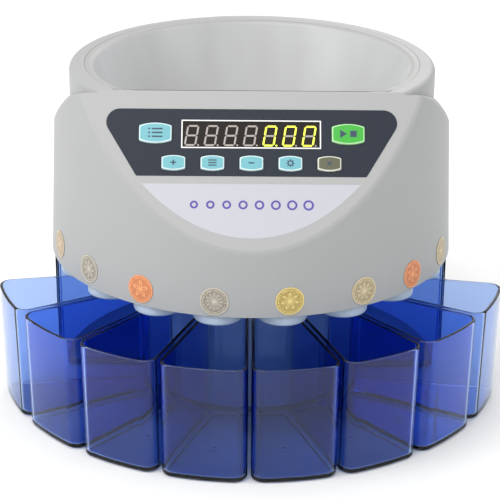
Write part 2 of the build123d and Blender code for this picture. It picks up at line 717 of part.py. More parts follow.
def power_rocker():
    """The rocker: two slopes that meet over its upright pivot, resting in its off position."""
    half, low, high = 7.4, -3.0, 3.4
    side = Polyline((-half, low), (half, low), (half, high), (0, high - 1.4), (-half, high), close=True)
    rocker = Pos(0, 0, INLET_Z - 5.0) * extrude(make_face(side), 10.0)
    to_pivot = Pos(SWITCH_X, SERVICE_Y, 0)
    return to_pivot * Rot(0, 0, -ROCKER_TILT_DEG) * rocker


def screw(x, y, head_z):
    """A pan-head screw that points up, its head under head_z."""
    return cylinder(3.4, head_z - 2.0, head_z, x, y) + cylinder(1.75, head_z, head_z + 12, x, y)


def case_screws():
    """The four screws of the drum's floor and the four of the column's flange."""
    screws = [screw(x, y, DRUM_Z) for x, y in screw_places()]
    screws += [screw(x, y, DRUM_Z - 3) for x, y in column_screw_places()]
    return Compound(children=screws)


# ---------------------------------------------------------------- all sub-parts

save("housing_shell", housing_shell())
save("hopper_bowl", hopper_bowl())
save("housing_floor", housing_floor())
save("base_column", base_column())
save("base_plate", base_plate())
save("rubber_feet", rubber_feet())
save("rear_cover", rear_cover())
save("keypad_panel", keypad_panel())
save("name_label", name_label())
save("display_module", display_module())
digits_lit, digits_unlit = digits()
save("digits_lit", digits_lit)
save("digits_unlit", digits_unlit)
save("keypad_board", keypad_board())
for button_name, *button_sizes in BUTTONS:
    save(button_name, button(*button_sizes))
save("sorting_ring", sorting_ring())
save("coin_sensors", coin_sensors())
save("feed_disc", feed_disc())
save("disc_shaft", disc_shaft())
save("shaft_bearings", shaft_bearings())
save("drive_gear", gear(GEAR_TEETH, SHAFT_R))
save("motor_pinion", motor_pinion())
save("drive_motor", drive_motor())
save("transformer", transformer())
save("main_board", main_board())
save("power_inlet", power_inlet())
save("inlet_pins", inlet_pins())
save("switch_bezel", switch_bezel())
save("power_rocker", power_rocker())
save("case_screws", case_screws())
one_cup, one_chute = cup(), chute()
for place in range(PLACES):
    turned = Rot(0, 0, place_angle(place))
    save(f"cup_{place + 1}", turned * one_cup)
    save(f"chute_{place + 1}", turned * one_chute)
    save(f"badge_{place + 1}", badge(*BADGES[place]))
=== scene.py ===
import json
from math import asin, atan2, cos, hypot, pi, radians, sin, tan

import bmesh
import bpy
from mathutils import Matrix, Vector


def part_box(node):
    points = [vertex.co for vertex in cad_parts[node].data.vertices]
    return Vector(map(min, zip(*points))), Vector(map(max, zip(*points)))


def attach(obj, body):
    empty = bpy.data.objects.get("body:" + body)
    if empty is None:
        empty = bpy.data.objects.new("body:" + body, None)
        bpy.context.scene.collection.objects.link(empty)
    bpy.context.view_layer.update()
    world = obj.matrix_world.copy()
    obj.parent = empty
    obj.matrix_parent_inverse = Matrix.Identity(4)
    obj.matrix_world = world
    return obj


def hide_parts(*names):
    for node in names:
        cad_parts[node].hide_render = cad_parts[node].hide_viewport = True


# Looks of the coin sorting machine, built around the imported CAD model. Metres, +Z up,
# the operator at -Y. Sizes that the CAD model also has are read from the frame's boxes
# where a box gives them, and are named here where none does.

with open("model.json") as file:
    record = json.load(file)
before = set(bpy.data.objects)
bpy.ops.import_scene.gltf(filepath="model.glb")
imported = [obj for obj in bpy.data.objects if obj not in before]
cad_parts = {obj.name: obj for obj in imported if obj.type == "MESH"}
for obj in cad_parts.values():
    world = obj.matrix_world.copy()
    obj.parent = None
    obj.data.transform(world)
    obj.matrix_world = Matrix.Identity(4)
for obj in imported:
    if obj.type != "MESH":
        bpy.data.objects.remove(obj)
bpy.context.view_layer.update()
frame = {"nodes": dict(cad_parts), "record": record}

MM = 0.001
AXIS_Y = ((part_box("feed_disc")[0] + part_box("feed_disc")[1]) / 2).y
TOP_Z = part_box("hopper_bowl")[1].z
DRUM_R, DRUM_DRAFT = 140.0 * MM, 0.0435
DRUM_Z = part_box("base_column")[1].z
PLACES = 8
PITCH = radians(19.8)

# Console plane: u across, v down the slope from its top edge
FACET = radians(53.6)
FACET_LOW_OUT, FACET_LOW_Z = 138.0 * MM, 143.8 * MM
FACET_TOP_Y = AXIS_Y - FACET_LOW_OUT + (TOP_Z - FACET_LOW_Z) / tan(FACET)
WINDOW_U, WINDOW_V = -0.3 * MM, 29.1 * MM
WINDOW_W, WINDOW_H = 89.6 * MM, 19.0 * MM
FRAME_LINE = 0.8 * MM

# Cups: the recess under the foot is (inset, height), the walls have rings at two shares of the
# height, and the gate mark in the floor rises in steps of (share of its radius, millimetres).
CUP_OUT_R, CUP_IN_R, CUP_DRAFT = 179.0 * MM, 80.6 * MM, 2.1 * MM
CUP_GAP = 2.0 * MM
CUP_WALL, CUP_FLOOR = 2.2 * MM, 2.6 * MM
CUP_FOOT_ROUND, CUP_FLOOR_ROUND = 2.4 * MM, 1.6 * MM
CUP_RECESS = [(4.2 * MM, 0.6 * MM), (3.6 * MM, 0.15 * MM), (3.0 * MM, 0.0)]
CUP_OUT_FILLET, CUP_IN_FILLET = 9.0 * MM, 5.0 * MM
CUP_TOP_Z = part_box("cup_4")[1].z
CUP_MID_SHARES = (0.35, 0.7)
GATE_R, GATE_OUT = 5.0 * MM, 6.0 * MM
GATE_STEPS = ((0.8, 0.35), (0.55, 0.45), (0.4, 0.45), (0.3, 0.1), (0.12, 0.1))

# Chutes
CHUTE_R, CHUTE_BORE_R, CHUTE_AT_R = 15.8 * MM, 13.6 * MM, 119.0 * MM
SPOUT_R, SPOUT_BORE_R, SPOUT_AT_R = 16.2 * MM, 13.8 * MM, 122.0 * MM

# Hopper bowl
BOWL_SEAM_R, BOWL_TOP_R, BOWL_LOW_R = 114.5 * MM, 108.6 * MM, 75.0 * MM
BOWL_LOW_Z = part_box("hopper_bowl")[0].z
BOWL_FLAT, BOWL_WALL, BOWL_LIP = 70.0 * MM, 2.0 * MM, 3.0 * MM
BOWL_CORNER, BOWL_EDGE_ROUND = 9.0 * MM, 4.5 * MM

# Rear cover
COVER_R, COVER_WALL, COVER_BEAD = 139.5 * MM, 2.4 * MM, 3.4 * MM
COVER_FRONT, COVER_BEAD_END = 0.6 * MM, 4.0 * MM

# Keys: each has u, v, its size, its film and its picture. A size is the width, the height and
# the bow of the top and bottom edges.
ROW_V, ROW_PITCH = 48.7 * MM, 24.9 * MM
BIG_KEY = (21.0 * MM, 13.8 * MM, 1.9 * MM)
SMALL_KEY = (15.2 * MM, 10.2 * MM, 1.3 * MM)
KEYS = {
    "report_button": (-61.7 * MM, 28.8 * MM, BIG_KEY, "key_cyan", "lines"),
    "start_button": (61.9 * MM, 28.8 * MM, BIG_KEY, "key_green", "play"),
    "plus_button": (-2 * ROW_PITCH, ROW_V, SMALL_KEY, "key_cyan", "plus"),
    "batch_button": (-ROW_PITCH, ROW_V, SMALL_KEY, "key_cyan", "stack"),
    "minus_button": (0.0, ROW_V, SMALL_KEY, "key_cyan", "minus"),
    "set_button": (ROW_PITCH, ROW_V, SMALL_KEY, "key_cyan", "wheel"),
    "clear_button": (2 * ROW_PITCH, ROW_V, SMALL_KEY, "key_olive", "cross"),
}
KEY_PROUD, KEY_EDGE = 1.6 * MM, 0.85 * MM
KEY_SKIRT, KEY_BACK, STEM_END = -3.4 * MM, -4.4 * MM, -5.3 * MM
STEM_R, FILM_CORNER = 2.0 * MM, 1.3 * MM
PRINT = 0.06 * MM

# Coin badges. The ground and the relief are shares of the thickness. Each badge has its turn
# from the front in degrees, its height, its film and its petals.
BADGE_R, BADGE_THICK = 9.35 * MM, 0.4 * MM
BADGE_GROUND, BADGE_RELIEF = 0.62, 0.36
BADGES = [
    (-68.7, 114.5 * MM, "badge_tan", 6), (-50.1, 112.2 * MM, "badge_nickel", 8),
    (-30.6, 111.0 * MM, "badge_copper", 5), (-9.5, 110.1 * MM, "badge_nickel", 12),
    (10.4, 110.6 * MM, "badge_gold", 7), (31.8, 110.2 * MM, "badge_pale_gold", 9),
    (50.2, 110.1 * MM, "badge_copper", 6), (68.1, 112.0 * MM, "badge_pale_gold", 10),
]


# ---------------------------------------------------------------- mesh kit


def skin(rings, wrap=False, caps=False):
    """Points and faces over equal rings of points. wrap joins the last ring to the first, and
    caps closes each end with a fan."""
    count = len(rings[0])
    points = [Vector(p) for ring in rings for p in ring]
    pairs = list(zip(range(len(rings) - 1), range(1, len(rings))))
    if wrap:
        pairs.append((len(rings) - 1, 0))
    faces = []
    for a, b in pairs:
        for i in range(count):
            j = (i + 1) % count
            faces.append((a * count + i, a * count + j, b * count + j, b * count + i))
    if caps:
        for first in (0, (len(rings) - 1) * count):
            middle = sum((points[first + i] for i in range(count)), Vector()) / count
            points.append(middle)
            faces += [(first + i, first + (i + 1) % count, len(points) - 1) for i in range(count)]
    return points, faces


def add_piece(name, parts, material, body, smooth=True):
    """A mesh object from one or more (points, faces), with outward normals, that rides on a body."""
    bm = bmesh.new()
    for points, faces in parts:
        verts = [bm.verts.new(p) for p in points]
        for face in faces:
            bm.faces.new([verts[i] for i in face])
    bmesh.ops.remove_doubles(bm, verts=bm.verts, dist=1e-7)
    bmesh.ops.recalc_face_normals(bm, faces=bm.faces)
    mesh = bpy.data.meshes.new(name)
    bm.to_mesh(mesh)
    bm.free()
    obj = bpy.data.objects.new(name, mesh)
    bpy.context.scene.collection.objects.link(obj)
    mesh.materials.append(material)
    if smooth:
        mesh.polygons.foreach_set("use_smooth", [True] * len(mesh.polygons))
        obj.modifiers.new("even_normals", "WEIGHTED_NORMAL").keep_sharp = True
    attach(obj, body)
    return obj


def circle(r, z, count, x, y):
    """A ring of points about an upright line that is (x, y) away from the drum's axis."""
    turns = [2 * pi * i / count for i in range(count)]
    return [(x + r * sin(t), AXIS_Y + y - r * cos(t), z) for t in turns]


def rounded(corner, radius, from_deg, to_deg, steps=5):
    """Points of a round corner about a centre, between two directions in the profile's plane."""
    turns = [radians(from_deg + (to_deg - from_deg) * i / steps) for i in range(steps + 1)]
    return [(corner[0] + radius * cos(t), corner[1] + radius * sin(t)) for t in turns]


def drum_r(z):
    """The drum's outer radius at a height."""
    return DRUM_R - DRUM_DRAFT * (z - DRUM_Z)


def on_console(x, y, lift, u=0.0, v=0.0):
    """A point above the console: x across and y up the slope from the place (u, v)."""
    down = v - y
    return Vector((u + x, FACET_TOP_Y - down * cos(FACET) - lift * sin(FACET),
                   TOP_Z - down * sin(FACET) + lift * cos(FACET)))


def console_slab(outline, low, high, u=0.0, v=0.0):
    """A flat piece on the console from an outline loop, between two lifts."""
    rings = [[on_console(x, y, lift, u, v) for x, y in outline] for lift in (low, high)]
    return skin(rings, caps=True)


def console_frame(outer, inner, low, high, u=0.0, v=0.0):
    """A flat frame on the console between two equal outline loops."""
    rings = []
    for outline, lift in ((outer, low), (outer, high), (inner, high), (inner, low)):
        rings.append([on_console(x, y, lift, u, v) for x, y in outline])
    return skin(rings, wrap=True)


def place_turn(index):
    """Turn of a cup or chute from the front, in radians."""
    return (index - (PLACES - 1) / 2) * PITCH


# ---------------------------------------------------------------- materials


def new_material(name):
    """A material with its tree, its Principled shader and object coordinates."""
    material = bpy.data.materials.new(name)
    material.use_nodes = True
    tree = material.node_tree
    shader = tree.nodes["Principled BSDF"]
    place = tree.nodes.new("ShaderNodeTexCoord").outputs["Object"]
    return material, tree, shader, place


def add_noise(tree, place, scale, detail=3.0):
    """Fractal noise in the object's own space."""
    node = tree.nodes.new("ShaderNodeTexNoise")
    node.inputs["Scale"].default_value = scale
    node.inputs["Detail"].default_value = detail
    tree.links.new(place, node.inputs["Vector"])
    return node.outputs["Fac"]


def add_range(tree, value, low, high, from_low=0.3, from_high=0.7):
    """A value stretched to a new range."""
    node = tree.nodes.new("ShaderNodeMapRange")
    node.inputs["From Min"].default_value = from_low
    node.inputs["From Max"].default_value = from_high
    node.inputs["To Min"].default_value = low
    node.inputs["To Max"].default_value = high
    tree.links.new(value, node.inputs["Value"])
    return node.outputs["Result"]


def add_mix(tree, factor, one, two):
    """A colour mixed from two plain colours by a factor."""
    node = tree.nodes.new("ShaderNodeMix")
    node.data_type = "RGBA"
    node.inputs["A"].default_value = (*one, 1)
    node.inputs["B"].default_value = (*two, 1)
    tree.links.new(factor, node.inputs["Factor"])
    return node.outputs["Result"]


def add_bump(tree, shader, height, strength, distance):
    """Bump from a height."""
    node = tree.nodes.new("ShaderNodeBump")
    node.inputs["Strength"].default_value = strength
    node.inputs["Distance"].default_value = distance
    tree.links.new(height, node.inputs["Height"])
    tree.links.new(node.outputs["Normal"], shader.inputs["Normal"])


def plastic(name, colour, roughness=0.45, grain=900.0, depth=0.04, spread=0.03, specular=0.5):
    """Moulded plastic: a fine grain, and a slight drift in colour and gloss."""
    material, tree, shader, place = new_material(name)
    drift = add_noise(tree, place, 18.0, 2.0)
    darker = [c * (1 - spread) for c in colour]
    lighter = [c * (1 + spread) for c in colour]
    tree.links.new(add_mix(tree, drift, darker, lighter), shader.inputs["Base Color"])
    fine = add_noise(tree, place, grain, 4.0)
    rough = add_range(tree, fine, roughness * 0.9, roughness * 1.1)
    tree.links.new(rough, shader.inputs["Roughness"])
    shader.inputs["Specular IOR Level"].default_value = specular
    add_bump(tree, shader, fine, depth, 0.1 * MM)
    return material


def funnel_plastic(name, lip, inside):
    """The hopper bowl's smooth plastic: the inside below its lip is painted paler as painted light, in
    soft upright streaks of painted highlight.
    """
    material, tree, shader, place = new_material(name)
    split = tree.nodes.new("ShaderNodeSeparateXYZ")
    tree.links.new(place, split.inputs["Vector"])
    # Painted light: below the lip the colour goes to the paler inside colour, streaked with painted
    # highlights.
    below = add_range(tree, split.outputs["Z"], 1.0, 0.0, TOP_Z - 2.6 * MM, TOP_Z - 0.3 * MM)
    stretch = tree.nodes.new("ShaderNodeMapping")
    stretch.inputs["Scale"].default_value = (1.0, 1.0, 0.06)
    tree.links.new(place, stretch.inputs["Vector"])
    painted_streaks = add_noise(tree, stretch.outputs["Vector"], 17.0, 2.0)
    wear_and_painted_light = tree.nodes.new("ShaderNodeMath")
    wear_and_painted_light.operation = "MULTIPLY"
    tree.links.new(below, wear_and_painted_light.inputs[0])
    tree.links.new(add_range(tree, painted_streaks, 0.5, 1.05), wear_and_painted_light.inputs[1])
    tree.links.new(add_mix(tree, wear_and_painted_light.outputs[0], lip, inside), shader.inputs["Base Color"])
    tree.links.new(add_range(tree, painted_streaks, 0.33, 0.42), shader.inputs["Roughness"])
    shader.inputs["Specular IOR Level"].default_value = 0.4
    return material


def clear_plastic(name, colour, ior):
    """Tinted see-through plastic with a faint flow ripple."""
    material, tree, shader, place = new_material(name)
    shader.inputs["Base Color"].default_value = (*colour, 1)
    shader.inputs["Transmission Weight"].default_value = 1.0
    shader.inputs["IOR"].default_value = ior
    haze = add_noise(tree, place, 60.0, 2.0)
    tree.links.new(add_range(tree, haze, 0.01, 0.03), shader.inputs["Roughness"])
    ripple = add_noise(tree, place, 28.0, 1.0)
    add_bump(tree, shader, ripple, 0.05, 0.2 * MM)
    return material


def metal(name, colour, roughness):
    """Worked metal with fine marks drawn out along Z."""
    material, tree, shader, place = new_material(name)
    shader.inputs["Metallic"].default_value = 1.0
    squeeze = tree.nodes.new("ShaderNodeMapping")
    squeeze.inputs["Scale"].default_value = (1.0, 1.0, 0.05)
    tree.links.new(place, squeeze.inputs["Vector"])
    marks = add_noise(tree, squeeze.outputs["Vector"], 1500.0, 3.0)
    darker = [c * 0.88 for c in colour]
    tree.links.new(add_mix(tree, marks, darker, colour), shader.inputs["Base Color"])
    tree.links.new(add_range(tree, marks, roughness * 0.8, roughness * 1.25), shader.inputs["Roughness"])
    add_bump(tree, shader, marks, 0.08, 0.05 * MM)
    return material


def glowing(name, colour, glow):
    """A lit display segment, a little brighter in the middle of its grain."""
    material, tree, shader, place = new_material(name)
    grain = add_noise(tree, place, 1200.0, 2.0)
    dim = [c * 0.9 for c in colour]
    mixed = add_mix(tree, grain, dim, colour)
    tree.links.new(mixed, shader.inputs["Base Color"])
    tree.links.new(mixed, shader.inputs["Emission Color"])
    shader.inputs["Emission Strength"].default_value = glow
    shader.inputs["Roughness"].default_value = 0.35
    return material


def coin_film(name, face, shade):
    """A printed coin: its relief is picked out by the height stored in the mesh."""
    material, tree, shader, place = new_material(name)
    stored = tree.nodes.new("ShaderNodeAttribute")
    stored.attribute_name = "relief"
    wear_and_painted_light = add_noise(tree, place, 1400.0, 5.0)
    add = tree.nodes.new("ShaderNodeMath")
    add.operation = "MULTIPLY_ADD"
    tree.links.new(wear_and_painted_light, add.inputs[0])
    add.inputs[1].default_value = 1.1
    tree.links.new(stored.outputs["Fac"], add.inputs[2])
    factor = add_range(tree, add.outputs[0], 0.0, 1.0, 0.45, 1.35)
    tree.links.new(add_mix(tree, factor, shade, face), shader.inputs["Base Color"])
    shader.inputs["Metallic"].default_value = 0.25
    shader.inputs["Roughness"].default_value = 0.38
    add_bump(tree, shader, wear_and_painted_light, 0.25, 0.1 * MM)
    return material


MATERIALS = {
    "body_grey": plastic("body_grey", (0.355, 0.361, 0.362), 0.42, 700.0, 0.03, 0.012),
    # The bowl's second colour is its inside painted paler as painted light.
    "bowl_grey": funnel_plastic("bowl_grey", (0.345, 0.348, 0.343), (0.575, 0.58, 0.59)),
    # The chutes' blue tint is painted light: blue light from the clear cups laid into grey plastic.
    "chute_grey": plastic("chute_grey", (0.44, 0.52, 0.62), 0.38, 700.0, 0.02, 0.015),
    # The column's pale grey is partly its own colour, partly painted light that brightens it in the
    # shade behind the cups.
    "column_grey": plastic("column_grey", (0.86, 0.89, 0.92), 0.42, 700.0, 0.03, 0.012),
    "clear_blue": clear_plastic("clear_blue", (0.43, 0.58, 0.92), 1.38),
    "cover_blue": clear_plastic("cover_blue", (0.25, 0.375, 0.69), 1.02),
    "foot_rubber": plastic("foot_rubber", (0.03, 0.03, 0.03), 0.8, 1200.0, 0.2),
    "panel_slate": plastic("panel_slate", (0.010, 0.015, 0.029), 0.48, 1500.0, 0.03, 0.03, 0.3),
    "label_white": plastic("label_white", (0.46, 0.46, 0.515), 0.4, 1500.0, 0.02, 0.01),
    "display_black": plastic("display_black", (0.018, 0.014, 0.012), 0.4, 900.0, 0.02, 0.03, 0.12),
    "digit_lit": glowing("digit_lit", (0.80, 0.88, 0.06), 0.75),
    "digit_dark": plastic("digit_dark", (0.36, 0.32, 0.30), 0.35, 1200.0, 0.02),
    "key_cyan": plastic("key_cyan", (0.13, 0.40, 0.46), 0.36, 1500.0, 0.03, 0.03),
    "key_green": plastic("key_green", (0.03, 0.38, 0.025), 0.36, 1500.0, 0.03, 0.03),
    "key_olive": plastic("key_olive", (0.085, 0.09, 0.045), 0.36, 1500.0, 0.03, 0.03),
    "key_edge_cyan": plastic("key_edge_cyan", (0.60, 0.76, 0.78), 0.25, 900.0, 0.02),
    "key_edge_green": plastic("key_edge_green", (0.42, 0.74, 0.38), 0.25, 900.0, 0.02),
    "key_edge_olive": plastic("key_edge_olive", (0.62, 0.63, 0.55), 0.25, 900.0, 0.02),
    "ink_dark": plastic("ink_dark", (0.025, 0.05, 0.09), 0.5, 1500.0, 0.02),
    "ink_navy": plastic("ink_navy", (0.075, 0.055, 0.32), 0.5, 1500.0, 0.02),
    "line_white": plastic("line_white", (0.80, 0.80, 0.80), 0.4, 1500.0, 0.02),
    "circuit_board": plastic("circuit_board", (0.02, 0.17, 0.06), 0.35, 300.0, 0.1, 0.15),
    "ring_plastic": plastic("ring_plastic", (0.50, 0.51, 0.52), 0.3, 600.0, 0.04, 0.04),
    "sensor_black": plastic("sensor_black", (0.02, 0.02, 0.02), 0.5, 900.0, 0.05),
    "steel": metal("steel", (0.60, 0.60, 0.61), 0.3),
    "gear_plastic": plastic("gear_plastic", (0.74, 0.70, 0.58), 0.45, 700.0, 0.05),
    "pinion_brass": metal("pinion_brass", (0.78, 0.58, 0.25), 0.3),
    "motor_steel": metal("motor_steel", (0.34, 0.35, 0.37), 0.45),
    "black_plastic": plastic("black_plastic", (0.022, 0.022, 0.024), 0.45, 800.0, 0.12),
    "rocker_red": plastic("rocker_red", (0.42, 0.02, 0.02), 0.25, 800.0, 0.03),
    "badge_tan": coin_film("badge_tan", (0.66, 0.52, 0.36), (0.30, 0.22, 0.13)),
    "badge_nickel": coin_film("badge_nickel", (0.56, 0.51, 0.42), (0.17, 0.15, 0.12)),
    "badge_copper": coin_film("badge_copper", (0.84, 0.36, 0.16), (0.45, 0.13, 0.05)),
    "badge_gold": coin_film("badge_gold", (0.78, 0.62, 0.24), (0.30, 0.20, 0.04)),
    "badge_pale_gold": coin_film("badge_pale_gold", (0.68, 0.58, 0.38), (0.25, 0.19, 0.09)),
}


# ---------------------------------------------------------------- camera, light and floor


SKY_LOW, SKY_HIGH = (0.72, 0.735, 0.76), (1.06, 1.05, 1.03)


def make_camera():
    """The camera at the reference view: in front, above the machine, looking down."""
    away, height, aside = 1.1815, 0.5644, -0.00049
    pitch, roll = 0.3815, 0.0076
    data = bpy.data.cameras.new("camera")
    data.sensor_width = 36.0
    data.lens = 128.56
    camera = bpy.data.objects.new("camera", data)
    bpy.context.scene.collection.objects.link(camera)
    tilt = Matrix.Rotation(pi / 2 - pitch, 4, "X") @ Matrix.Rotation(roll, 4, "Z")
    camera.matrix_world = Matrix.Translation((aside, AXIS_Y - away, height)) @ tilt
    bpy.context.scene.camera = camera


def add_softbox(name, place, target, width, height, watts, colour=(1, 1, 1)):
    """A rectangular area light that faces a point."""
    data = bpy.data.lights.new(name, "AREA")
    data.shape = "RECTANGLE"
    data.size, data.size_y = width, height
    data.energy = watts
    data.color = colour
    light = bpy.data.objects.new(name, data)
    light.location = place
    light.rotation_euler = (Vector(target) - Vector(place)).to_track_quat("-Z", "Y").to_euler()
    bpy.context.scene.collection.objects.link(light)


def make_light():
    """A white surround, brighter overhead, with soft boxes above, at both sides and behind."""
    world = bpy.data.worlds.new("surround")
    world.use_nodes = True
    tree = world.node_tree
    place = tree.nodes.new("ShaderNodeTexCoord").outputs["Generated"]
    split = tree.nodes.new("ShaderNodeSeparateXYZ")
    tree.links.new(place, split.inputs["Vector"])
    height = add_range(tree, split.outputs["Z"], 0.0, 1.0, 0.0, 0.9)
    tree.links.new(add_mix(tree, height, SKY_LOW, SKY_HIGH), tree.nodes["Background"].inputs["Color"])
    bpy.context.scene.world = world
    middle = (0, AXIS_Y, 0.12)
    add_softbox("key_box", (-0.4, -0.7, 1.4), middle, 1.1, 0.9, 9.0, (1.0, 0.99, 0.96))
    add_softbox("left_box", (-1.3, -0.5, 0.8), middle, 0.5, 1.0, 5.5)
    add_softbox("right_box", (1.3, -0.5, 0.8), middle, 0.3, 1.1, 1.0)
    add_softbox("back_box", (0.4, 1.4, 0.9), middle, 0.9, 0.6, 3.0)


def make_floor():
    """A plain pale floor."""
    mesh = bpy.data.meshes.new("floor")
    bm = bmesh.new()
    bmesh.ops.create_grid(bm, x_segments=8, y_segments=8, size=30.0)
    bm.to_mesh(mesh)
    bm.free()
    floor = bpy.data.objects.new("floor", mesh)
    floor.location.z = -0.0002
    mesh.materials.append(plastic("floor_white", (0.90, 0.90, 0.90), 0.7, 40.0, 0.0, 0.004))
    bpy.context.scene.collection.objects.link(floor)


# ---------------------------------------------------------------- cups


def cup_outline(inset, z):
    """A cup's outline at a height as (across, away from the drum's axis), inset from its outer faces."""
    half = PITCH / 2
    offset = CUP_GAP / 2 + inset

    def corner(arc_r, fillet, outer):
        """Centre and turn of a round corner between an arc and the straight side."""
        away = arc_r - fillet if outer else arc_r + fillet
        turn = half - asin((offset + fillet) / away)
        return away * sin(turn), away * cos(turn), turn

    out_r = CUP_OUT_R - CUP_DRAFT * (1 - z / CUP_TOP_Z) - inset
    in_r = CUP_IN_R + inset
    out_fillet, in_fillet = CUP_OUT_FILLET - inset, CUP_IN_FILLET - inset
    ox, oy, out_turn = corner(out_r, out_fillet, True)
    ix, iy, in_turn = corner(in_r, in_fillet, False)
    side = half + pi / 2

    def arc(cx, cy, r, start, end, steps):
        """Points along an arc, without its last one."""
        turns = [start + (end - start) * i / steps for i in range(steps)]
        return [(cx + r * sin(t), cy + r * cos(t)) for t in turns]

    right = arc(0, 0, out_r, 0, out_turn, 9)
    right += arc(ox, oy, out_fillet, out_turn, side, 9)
    start = (ox + out_fillet * sin(side), oy + out_fillet * cos(side))
    end = (ix + in_fillet * sin(side), iy + in_fillet * cos(side))
    steps = 8
    right += [(start[0] + (end[0] - start[0]) * i / steps, start[1] + (end[1] - start[1]) * i / steps)
              for i in range(steps)]
    right += arc(ix, iy, in_fillet, side, pi + in_turn, 7)
    right += arc(0, 0, in_r, in_turn, 0, 5) + [(0, in_r)]
    left = [(-x, y) for x, y in reversed(right[1:-1])]
    return right + left


def cup_profile():
    """The cup's wall from under its foot, over the rim and down to its floor, as (inset, height)."""
    foot, inner, lip = CUP_FOOT_ROUND, CUP_FLOOR_ROUND, CUP_WALL / 2
    profile = CUP_RECESS + rounded((foot, foot), foot, 270, 180, 6)
    profile += [(0.0, CUP_TOP_Z * share) for share in CUP_MID_SHARES]
    profile += rounded((lip, CUP_TOP_Z - lip), lip, 180, 0, 8)
    profile += [(CUP_WALL, CUP_TOP_Z * share) for share in reversed(CUP_MID_SHARES)]
    profile += rounded((CUP_WALL + inner, CUP_FLOOR + inner), inner, 180, 270, 5)
    return profile


def make_cup(index):
    """One coin cup: thin clear walls, a rounded rim and foot, and a gate mark in its floor."""
    turn = place_turn(index)
    middle_r = (CUP_OUT_R + CUP_IN_R) / 2 + GATE_OUT

    def placed(outline, z):
        """Turns an outline to the cup's place."""
        return [(x * cos(turn) + y * sin(turn), AXIS_Y + x * sin(turn) - y * cos(turn), z)
                for x, y in outline]

    def toward_gate(outline, share, r):
        """The outline drawn in towards a small circle at the middle of the floor."""
        ring = []
        for x, y in outline:
            dx, dy = x, y - middle_r
            length = hypot(dx, dy)
            cx, cy = dx / length * r, middle_r + dy / length * r
            ring.append((x + (cx - x) * share, y + (cy - y) * share))
        return ring

    profile = cup_profile()
    under, inside = cup_outline(*profile[0]), cup_outline(*profile[-1])
    rings = [placed(toward_gate(under, share, GATE_R), profile[0][1]) for share in (1.0, 0.6, 0.25)]
    rings += [placed(cup_outline(inset, z), z) for inset, z in profile]
    rings += [placed(toward_gate(inside, share, GATE_R), CUP_FLOOR) for share in (0.25, 0.6, 1.0)]
    for share, rise in GATE_STEPS:
        rings.append(placed(toward_gate(inside, 1.0, GATE_R * share), CUP_FLOOR + rise * MM))
    name = f"cup_{index + 1}"
    piece = add_piece(f"{name}_clear", [skin(rings, caps=True)], MATERIALS["clear_blue"],
                      f"{name}_body")
    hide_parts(name)


# ---------------------------------------------------------------- chutes and rear cover


def make_chute(index):
    """One coin chute: a tube with a wider spout under the drum's floor, and a softly rolled mouth."""
    turn = place_turn(index)
    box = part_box("chute_4")
    low, high = box[0].z, box[1].z
    roll, inner_roll, rolled_height = 1.9 * MM, 0.5 * MM, 3.0 * MM
    levels = [(CHUTE_AT_R, CHUTE_R, high), (CHUTE_AT_R, CHUTE_R, DRUM_Z), (SPOUT_AT_R, SPOUT_R, DRUM_Z),
              (SPOUT_AT_R, SPOUT_R, low + rolled_height)]
    mouth = rounded((SPOUT_R - roll, low + roll), roll, 0, -90, 7)
    mouth += rounded((SPOUT_BORE_R + inner_roll, low + inner_roll), inner_roll, -90, -180, 3)
    levels += [(SPOUT_AT_R, r, z) for r, z in mouth]
    levels += [(CHUTE_AT_R, CHUTE_BORE_R, high)]
    rings = [circle(r, z, 72, away * sin(turn), -away * cos(turn)) for away, r, z in levels]
    name = f"chute_{index + 1}"
    piece = add_piece(f"{name}_spout", [skin(rings, wrap=True)], MATERIALS["chute_grey"],
                      "machine")
    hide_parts(name)


def cover_outline(inset):
    """The rear cover's half ring in plan, with a bead down both front edges."""
    front = COVER_FRONT + inset
    out_r, in_r = COVER_R - inset, COVER_R - COVER_WALL + inset
    bead_r, bead_end = COVER_R - COVER_BEAD + inset, COVER_BEAD_END - inset
    steps = 96
    start = asin(front / out_r)
    outer = [start + (pi - 2 * start) * i / steps for i in range(steps + 1)]
    points = [(out_r * cos(t), out_r * sin(t)) for t in outer]
    inner_start = asin(bead_end / in_r)
    inner = [pi - inner_start - (pi - 2 * inner_start) * i / steps for i in range(steps + 1)]
    front_x, end_x = ((bead_r ** 2 - y ** 2) ** 0.5 for y in (front, bead_end))
    points += [(-front_x, front), (-end_x, bead_end)]
    points += [(in_r * cos(t), in_r * sin(t)) for t in inner]
    points += [(end_x, bead_end), (front_x, front)]
    return points


def make_rear_cover():
    """The clear half-round cover behind the column, with softened edges."""
    low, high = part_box("rear_cover")[0].z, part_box("rear_cover")[1].z
    soft = 0.5 * MM
    levels = [(soft, low), (0.15 * MM, low + 0.15 * MM), (0.0, low + soft), (0.0, (low + high) / 2),
              (0.0, high - soft), (0.15 * MM, high - 0.15 * MM), (soft, high)]
    rings = [[(x, AXIS_Y + y, z) for x, y in cover_outline(inset)] for inset, z in levels]
    points, faces = skin(rings)
    count = len(rings[0])
    half = count // 2
    for first in (0, (len(rings) - 1) * count):
        for i in range(half - 1):
            faces.append((first + i, first + i + 1, first + count - 2 - i, first + count - 1 - i))
    piece = add_piece("rear_cover_clear", [(points, faces)], MATERIALS["cover_blue"],
                      "machine")
    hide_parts("rear_cover")


# ---------------------------------------------------------------- hopper bowl


def flat_round(r, flat, turn, corner):
    """Radius of a circle with a flat front at a turn from the front, with a soft corner."""
    if cos(turn) < 0.2:
        return r
    edge = flat / cos(turn)
    near = max(corner - abs(r - edge), 0.0)
    return min(r, edge) - near * near / (4 * corner)


